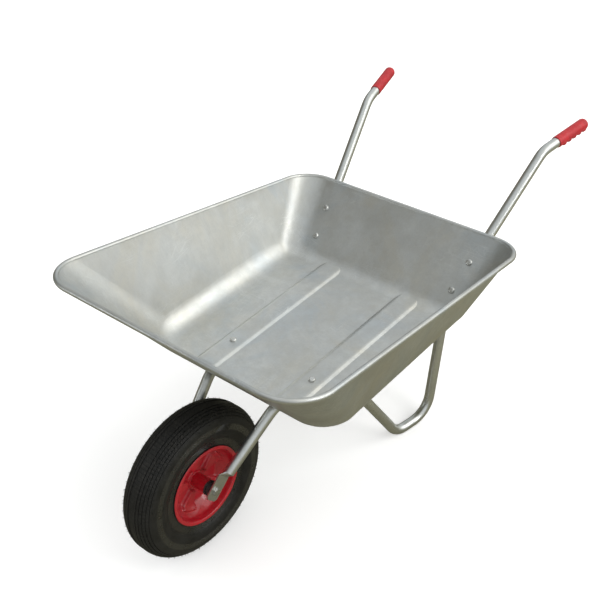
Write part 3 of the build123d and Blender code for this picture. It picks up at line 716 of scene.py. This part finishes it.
# ---------------------------------------------------------------- pressed rim halves
RIM_STEPS = 60
RIM_RIBS = 5
RIB_HALF_TURN = 18           # degrees each side of a rib's middle
RIB_SLOPE = 3.2 * MM
RIB_RISE = 9.0 * MM
SHEET_RIM = 1.8 * MM
FOOT_RATIO = 0.66            # foot of the dish, times the lip
hub_r = size_of("hub_tube").z / 2


def rim_rings():
    """(r, x) of the outboard face, from the lip's back inwards to the hub."""
    seat = lip_r - 8 * MM
    foot = lip_r * FOOT_RATIO
    deep = SHEET_RIM
    lip = (
        (lip_r, lip_x - 1.6 * MM), (lip_r - 0.6 * MM, lip_x - 0.5 * MM), (lip_r - 2.0 * MM, lip_x),
        (seat + 2.0 * MM, lip_x), (seat + 0.2 * MM, lip_x - 0.5 * MM),
    )
    bowl = (
        (seat - 1.2 * MM, lip_x - 2.0 * MM), (seat - 1.9 * MM, lip_x - 5.0 * MM),
        (seat - 3.0 * MM, lip_x - 13.0 * MM), (seat - 4.2 * MM, lip_x - 16.0 * MM),
        (seat - 7.6 * MM, lip_x - 20.5 * MM), (foot + 11 * MM, deep + 11.5 * MM),
        (foot + 3.4 * MM, deep + 3.2 * MM), (foot - 0.5 * MM, deep + 0.4 * MM),
    )
    disc = (
        (foot - 4 * MM, deep), (foot - 12 * MM, deep), (foot - 22 * MM, deep),
        (hub_r + 14 * MM, deep), (hub_r + 9 * MM, deep), (hub_r + 5.6 * MM, deep + 0.3 * MM),
    )
    boss = (
        (hub_r + 3.8 * MM, deep + 2.2 * MM), (hub_r + 3.2 * MM, deep + 4.4 * MM),
        (hub_r + 2.2 * MM, deep + 5 * MM), (hub_r, deep + 5 * MM),
    )
    return lip + bowl + disc + boss


def press_the_ribs(part, side):
    """Five wedge ribs raised outboard between hub and dish."""
    bpy.ops.object.mode_set(mode="OBJECT")
    low, high = hub_r + 8 * MM, lip_r * FOOT_RATIO + 12 * MM
    pitch = 360 / RIM_RIBS
    for v in part.data.vertices:
        v.select = False
    for e in part.data.edges:
        e.select = False
    for f in part.data.polygons:
        turn = math.degrees(math.atan2(f.center.z - axle.z, f.center.y - axle.y)) - 90
        off = abs((turn + pitch / 2) % pitch - pitch / 2)
        f.select = off < RIB_HALF_TURN and low < radius_of(f.center) < high
    back_to_edit("FACE")
    bpy.ops.mesh.inset(thickness=RIB_SLOPE, depth=0)
    bpy.ops.transform.translate(value=(side * RIB_RISE, 0, 0))
    bpy.ops.object.mode_set(mode="OBJECT")


def build_rim_half(side, name, stands_for):
    rings = rim_rings()
    deselect()
    bpy.ops.mesh.primitive_circle_add(
        vertices=RIM_STEPS, radius=rings[0][0],
        location=(side * rings[0][1], axle.y, axle.z), rotation=(0, math.pi / 2, 0),
    )
    part = bpy.context.object
    bpy.ops.object.transform_apply(location=True, rotation=True, scale=True)
    bpy.ops.object.mode_set(mode="EDIT")
    bpy.ops.mesh.select_mode(type="EDGE")
    bpy.ops.mesh.select_all(action="SELECT")
    for (r0, x0), (r1, x1) in zip(rings, rings[1:]):
        bpy.ops.mesh.extrude_region_move(TRANSFORM_OT_translate={"value": (side * (x1 - x0), 0, 0)})
        bpy.ops.transform.resize(value=(1, r1 / r0, r1 / r0), center_override=axle)
    bpy.ops.object.mode_set(mode="OBJECT")
    press_the_ribs(part, side)
    back_to_edit("FACE")
    bpy.ops.mesh.select_all(action="SELECT")
    bpy.ops.mesh.normals_make_consistent(inside=False)
    bpy.ops.object.mode_set(mode="OBJECT")
    disc = min(part.data.polygons, key=lambda f: radius_of(f.center))
    if disc.normal.x * side < 0:
        bpy.ops.object.mode_set(mode="EDIT")
        bpy.ops.mesh.select_all(action="SELECT")
        bpy.ops.mesh.flip_normals()
        bpy.ops.object.mode_set(mode="OBJECT")
    smooth = part.modifiers.new("pressing", "SUBSURF")
    smooth.levels = 2
    sheet = part.modifiers.new("sheet", "SOLIDIFY")
    sheet.thickness = SHEET_RIM
    sheet.offset = -1.0
    bpy.ops.object.modifier_apply(modifier="pressing")
    bpy.ops.object.modifier_apply(modifier="sheet")
    return finish_piece(part, name, ENAMEL, "wheel", (stands_for,), 50.0)


build_tyre()
build_hairs()
build_rim_half(1, "rim_pressing_left", "rim_half_left")
build_rim_half(-1, "rim_pressing_right", "rim_half_right")


# ---------------------------------------------------------------- floor, light and camera
def build_floor():
    deselect()
    bpy.ops.mesh.primitive_plane_add(size=24.0, location=(0, 0, 0))
    floor = bpy.context.object
    floor.name = "studio_floor"
    made = bpy.data.materials.new("pale_floor")
    made.use_nodes = True
    tree = made.node_tree
    tree.nodes.clear()
    end = tree.nodes.new("ShaderNodeOutputMaterial")
    matt = tree.nodes.new("ShaderNodeBsdfDiffuse")
    matt.inputs["Color"].default_value = (0.80, 0.80, 0.79, 1)
    # painted shade: glossy rays see a darker, warmer copy of the floor, standing in for the floor shaded
    # under the tray; other rays see the pale floor
    shaded_floor_copy = tree.nodes.new("ShaderNodeBsdfDiffuse")
    shaded_floor_copy.inputs["Color"].default_value = (0.245, 0.236, 0.165, 1)
    glow = tree.nodes.new("ShaderNodeEmission")
    path = tree.nodes.new("ShaderNodeLightPath")
    wire(tree, times(tree, path.outputs["Is Camera Ray"], 0.34), glow.inputs["Strength"])
    lifted = tree.nodes.new("ShaderNodeAddShader")
    wire(tree, matt.outputs[0], lifted.inputs[0])
    wire(tree, glow.outputs[0], lifted.inputs[1])
    swap = tree.nodes.new("ShaderNodeMixShader")
    wire(tree, path.outputs["Is Glossy Ray"], swap.inputs[0])
    wire(tree, lifted.outputs[0], swap.inputs[1])
    wire(tree, shaded_floor_copy.outputs[0], swap.inputs[2])
    wire(tree, swap.outputs[0], end.inputs["Surface"])
    floor.data.materials.append(made)
    return floor


def soft_box(name, place, aim, width, height, power, colour, glossy):
    light = bpy.data.lights.new(name, "AREA")
    light.shape = "RECTANGLE"
    light.size = width
    light.size_y = height
    light.energy = power
    light.color = colour
    made = bpy.data.objects.new(name, light)
    bpy.context.scene.collection.objects.link(made)
    made.visible_glossy = glossy
    made.location = place
    made.rotation_euler = (Vector(aim) - Vector(place)).to_track_quat("-Z", "Y").to_euler()
    return made


BRIGHT_WAY = (0.62, 0.50, 0.60)
WHITE = (1, 1, 1)
# name, place, aim, size, power, colour, seen in reflections
LIGHTS = (
    ("key_right_rear", (2.6, 1.1, 2.6), (0, 0, 0.4), (3.2, 2.2), 60, WHITE, False),
    ("left_rear", (-2.1, 2.3, 2.5), (0, 0, 0.35), (3.4, 2.6), 17, (0.93, 0.98, 1.0), False),
    ("top", (0.2, 0.2, 3.4), (0, 0, 0.3), (1.6, 1.6), 16, WHITE, False),
    ("strip_right", (3.0, 0.3, 1.75), (0, 0, 0.3), (0.5, 1.5), 12, WHITE, True),
    ("strip_left", (-1.9, -2.1, 1.5), (0, -0.2, 0.4), (0.35, 1.6), 7, (0.90, 0.96, 1.0), True),
)


def build_light():
    world = bpy.data.worlds.new("studio")
    bpy.context.scene.world = world
    world.use_nodes = True
    tree = world.node_tree
    tree.nodes.clear()
    end = tree.nodes.new("ShaderNodeOutputWorld")
    plain = tree.nodes.new("ShaderNodeBackground")
    plain.inputs["Color"].default_value = (1.0, 1.0, 1.0, 1)
    plain.inputs["Strength"].default_value = 0.85
    shown = tree.nodes.new("ShaderNodeBackground")
    where = tree.nodes.new("ShaderNodeTexCoord")
    toward = add_node(tree, "ShaderNodeVectorMath", operation="DOT_PRODUCT")
    wire(tree, where.outputs["Generated"], toward.inputs[0])
    toward.inputs[1].default_value = BRIGHT_WAY
    ramp = tree.nodes.new("ShaderNodeValToRGB")
    stops = ramp.color_ramp.elements
    stops[0].position = 0.28
    stops[0].color = (0.15, 0.14, 0.11, 1)
    stops[1].position = 1.0
    stops[1].color = (2.3, 2.33, 2.27, 1)
    for position, colour in (
        (0.44, (0.17, 0.165, 0.135, 1)), (0.60, (0.64, 0.68, 0.695, 1)), (0.72, (0.74, 0.77, 0.78, 1)),
        (0.90, (0.70, 0.72, 0.685, 1)),
    ):
        stops.new(position).color = colour
    rise = math_node(tree, "MULTIPLY_ADD", toward.outputs["Value"], 0.5, 0.5)
    wire(tree, rise, ramp.inputs[0])
    wire(tree, ramp.outputs[0], shown.inputs["Color"])
    path = tree.nodes.new("ShaderNodeLightPath")
    swap = tree.nodes.new("ShaderNodeMixShader")
    wire(tree, path.outputs["Is Glossy Ray"], swap.inputs[0])
    wire(tree, plain.outputs[0], swap.inputs[1])
    wire(tree, shown.outputs[0], swap.inputs[2])
    wire(tree, swap.outputs[0], end.inputs["Surface"])
    for name, place, aim, size, power, colour, glossy in LIGHTS:
        soft_box(name, place, aim, *size, power, colour, glossy)


LENS = 56.40
CAMERA_PLACE = (1.1962, -0.8391, 1.7834)       # y from the axle
CAMERA_RIGHT = (0.7662, 0.6371, -0.0843)
CAMERA_AHEAD = (-0.5383, 0.5646, -0.6257)


def build_camera():
    view = bpy.data.cameras.new("camera")
    view.sensor_width = 36.0
    view.lens = LENS
    made = bpy.data.objects.new("camera", view)
    bpy.context.scene.collection.objects.link(made)
    right = Vector(CAMERA_RIGHT).normalized()
    ahead = Vector(CAMERA_AHEAD).normalized()
    up = right.cross(ahead)
    turn = Matrix((right, up, -ahead)).transposed().to_4x4()
    x, y, z = CAMERA_PLACE
    made.matrix_world = Matrix.Translation((x, y + axle.y, z)) @ turn
    bpy.context.scene.camera = made
    bpy.context.scene.view_settings.view_transform = "Standard"
    bpy.context.scene.view_settings.look = "None"


build_floor()
build_light()
build_camera()
